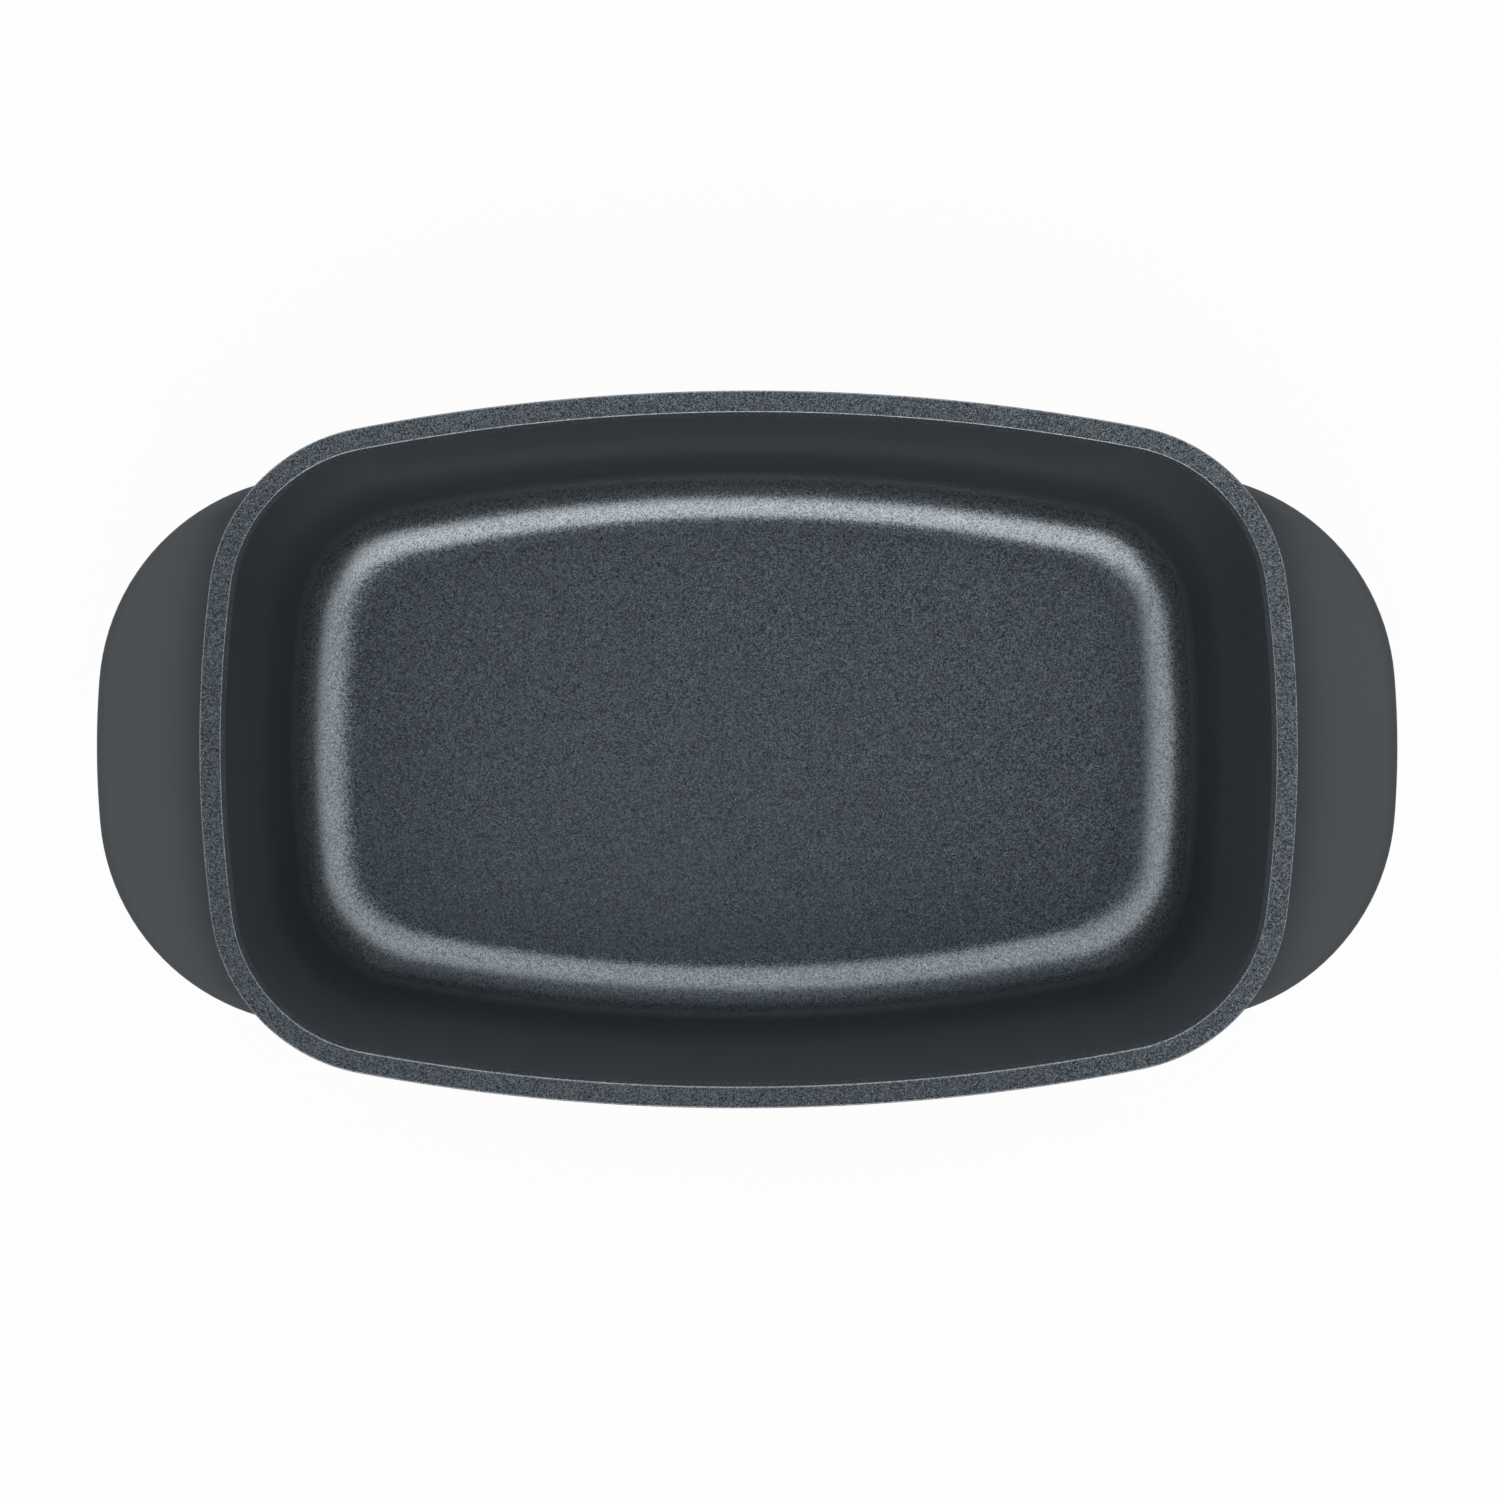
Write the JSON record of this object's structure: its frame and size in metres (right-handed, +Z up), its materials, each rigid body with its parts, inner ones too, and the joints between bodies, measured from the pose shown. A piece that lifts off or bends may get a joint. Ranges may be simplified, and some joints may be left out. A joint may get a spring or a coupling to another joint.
{
  "type": "roasting pan",
  "caption": "Deep cast roasting pan with bowed sides, round corners, a flat rim, a coved non-stick inside, wing grips screwed to cast lugs, and a steel induction plate in the base.",
  "frame": {"origin": "on the standing plane, under the middle of the pan", "axes": "+X along the pan towards the right-hand grip as pictured, +Y towards the back long side, +Z up out of the pan"},
  "size_m": [0.4114, 0.2244, 0.1],
  "materials": {
    "coated_casting": "dark blue-grey non-stick coat with fine metallic speckle inside and on the rim, matt grey lacquer outside",
    "matt_grip": "plain matt dark grey, heat-proof moulding",
    "plate_steel": "brushed magnetic stainless steel",
    "screw_steel": "bright zinc-plated steel"
  },
  "bodies": {
    "root": {"pan_body": "coated_casting", "induction_plate": "plate_steel", "left_grip": "matt_grip", "left_grip_screw_back": "screw_steel", "left_grip_screw_front": "screw_steel", "left_grip_washer_back": "screw_steel", "left_grip_washer_front": "screw_steel", "right_grip": "matt_grip", "right_grip_screw_back": "screw_steel", "right_grip_screw_front": "screw_steel", "right_grip_washer_back": "screw_steel", "right_grip_washer_front": "screw_steel"}
  },
  "joints": []
}
